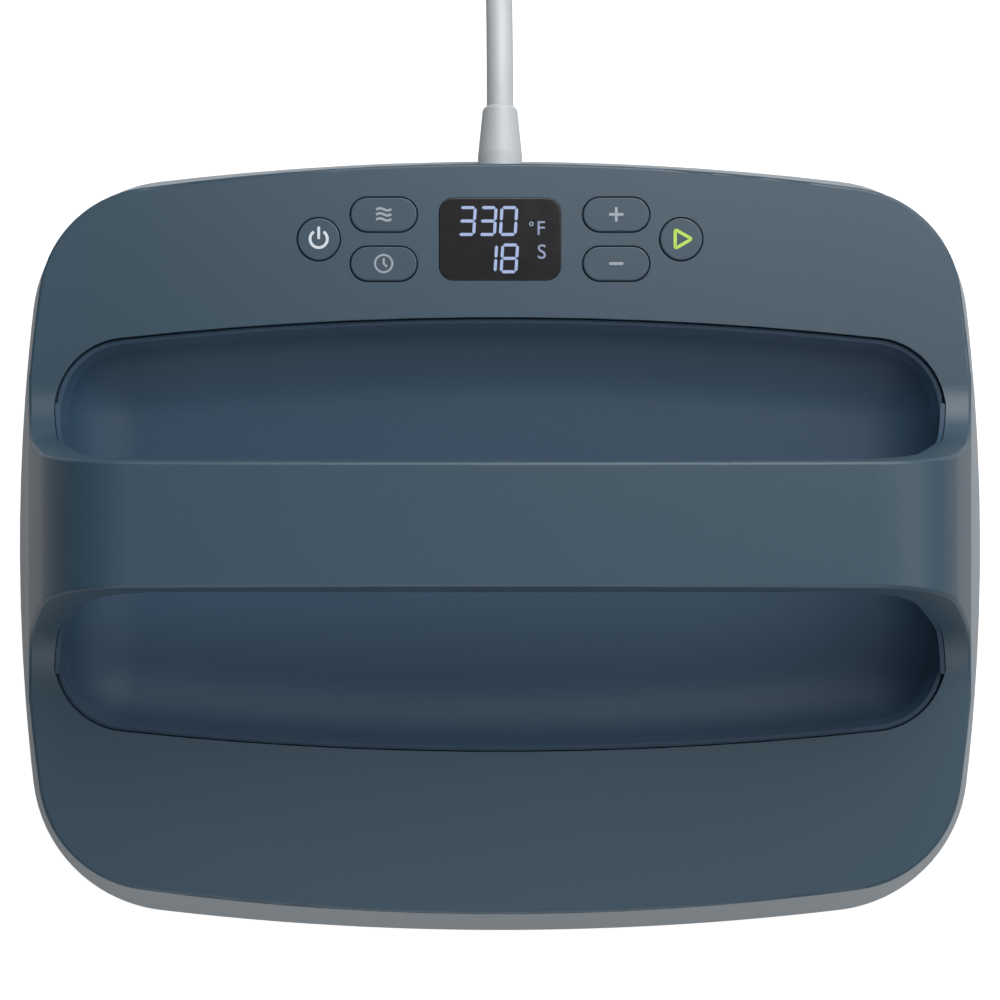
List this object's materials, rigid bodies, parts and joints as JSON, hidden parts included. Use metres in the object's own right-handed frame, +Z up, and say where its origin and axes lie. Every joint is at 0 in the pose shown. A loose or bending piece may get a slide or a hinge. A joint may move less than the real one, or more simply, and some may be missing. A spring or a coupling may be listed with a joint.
{
  "type": "handheld heat press",
  "caption": "Handheld heat press: flat heated plate in a flared base, shell with an arched full-width grip, display and push buttons on the rear deck, mains cord.",
  "frame": {"origin": "centre of the heat plate's pressing face, the plane the press stands on", "axes": "+X along the grip to the right, +Y to the rear where the cord leaves, +Z up"},
  "size_m": [0.3376, 0.5247, 0.1292],
  "materials": {
    "shell_plastic": "matt",
    "liner_plastic": "matt",
    "base_plastic": "matt",
    "plate_aluminium": "satin",
    "element_sheath": "satin",
    "ceramic": "glossy",
    "blanket_fibre": "matt",
    "shield_steel": "satin",
    "spacer_steel": "satin",
    "screw_steel": "satin",
    "board_laminate": "glossy",
    "component_black": "glossy",
    "block_green": "glossy",
    "capacitor_yellow": "glossy",
    "core_steel": "satin",
    "relay_blue": "glossy",
    "module_white": "matt",
    "window_dark": "glossy",
    "gasket_foam": "matt",
    "ribbon_grey": "matt",
    "lead_brown": "matt",
    "lead_red": "matt",
    "lead_white": "matt",
    "cord_rubber": "matt",
    "pin_brass": "satin",
    "button_plastic": "matt"
  },
  "bodies": {
    "press": {"upper_shell": "shell_plastic", "dish_liner": "liner_plastic", "left_arm_liner": "liner_plastic", "right_arm_liner": "liner_plastic", "grip_underside": "liner_plastic", "base_housing": "base_plastic", "heat_plate": "plate_aluminium", "heating_element": "element_sheath", "element_terminals": "ceramic", "insulation_blanket": "blanket_fibre", "heat_shield": "shield_steel", "plate_standoffs": "spacer_steel", "standoff_screws": "screw_steel", "thermal_fuse": "screw_steel", "fuse_clip": "spacer_steel", "temperature_sensor": "spacer_steel", "clip_screws": "screw_steel", "power_board": "board_laminate", "triac": "component_black", "triac_heatsink": "plate_aluminium", "terminal_block": "block_green", "filter_capacitor": "capacitor_yellow", "transformer": "core_steel", "relay": "relay_blue", "display_board": "board_laminate", "display_module": "module_white", "display_window": "window_dark", "window_gasket": "gasket_foam", "switch_bodies": "component_black", "buzzer": "component_black", "ribbon_cable": "ribbon_grey", "mains_leads": "lead_brown", "element_leads": "lead_red", "sensor_lead": "lead_white", "lead_grommets": "gasket_foam", "cord_clamp": "component_black", "clamp_screws": "screw_steel", "strain_relief": "cord_rubber", "inner_cord": "cord_rubber", "mains_cord": "cord_rubber", "cord_coil": "cord_rubber", "plug_lead": "cord_rubber", "plug_body": "cord_rubber", "plug_pins": "pin_brass", "case_screws": "screw_steel", "grip_screws": "screw_steel", "power_board_screws": "screw_steel", "display_board_screws": "screw_steel"},
    "power_key": {"power_button": "button_plastic", "power_plunger": "component_black"},
    "temperature_key": {"temperature_button": "button_plastic", "temperature_plunger": "component_black"},
    "timer_key": {"timer_button": "button_plastic", "timer_plunger": "component_black"},
    "plus_key": {"plus_button": "button_plastic", "plus_plunger": "component_black"},
    "minus_key": {"minus_button": "button_plastic", "minus_plunger": "component_black"},
    "start_key": {"start_button": "button_plastic", "start_plunger": "component_black"}
  },
  "joints": [
    {"name": "power_press", "type": "slide", "parent": "press", "child": "power_key", "axis": [0, 0, -1], "range_m": [0, 0.0006], "stiffness_N_per_m": 1500},
    {"name": "temperature_press", "type": "slide", "parent": "press", "child": "temperature_key", "axis": [0, 0, -1], "range_m": [0, 0.0006], "stiffness_N_per_m": 1500},
    {"name": "timer_press", "type": "slide", "parent": "press", "child": "timer_key", "axis": [0, 0, -1], "range_m": [0, 0.0006], "stiffness_N_per_m": 1500},
    {"name": "plus_press", "type": "slide", "parent": "press", "child": "plus_key", "axis": [0, 0, -1], "range_m": [0, 0.0006], "stiffness_N_per_m": 1500},
    {"name": "minus_press", "type": "slide", "parent": "press", "child": "minus_key", "axis": [0, 0, -1], "range_m": [0, 0.0006], "stiffness_N_per_m": 1500},
    {"name": "start_press", "type": "slide", "parent": "press", "child": "start_key", "axis": [0, 0, -1], "range_m": [0, 0.0006], "stiffness_N_per_m": 1500}
  ]
}
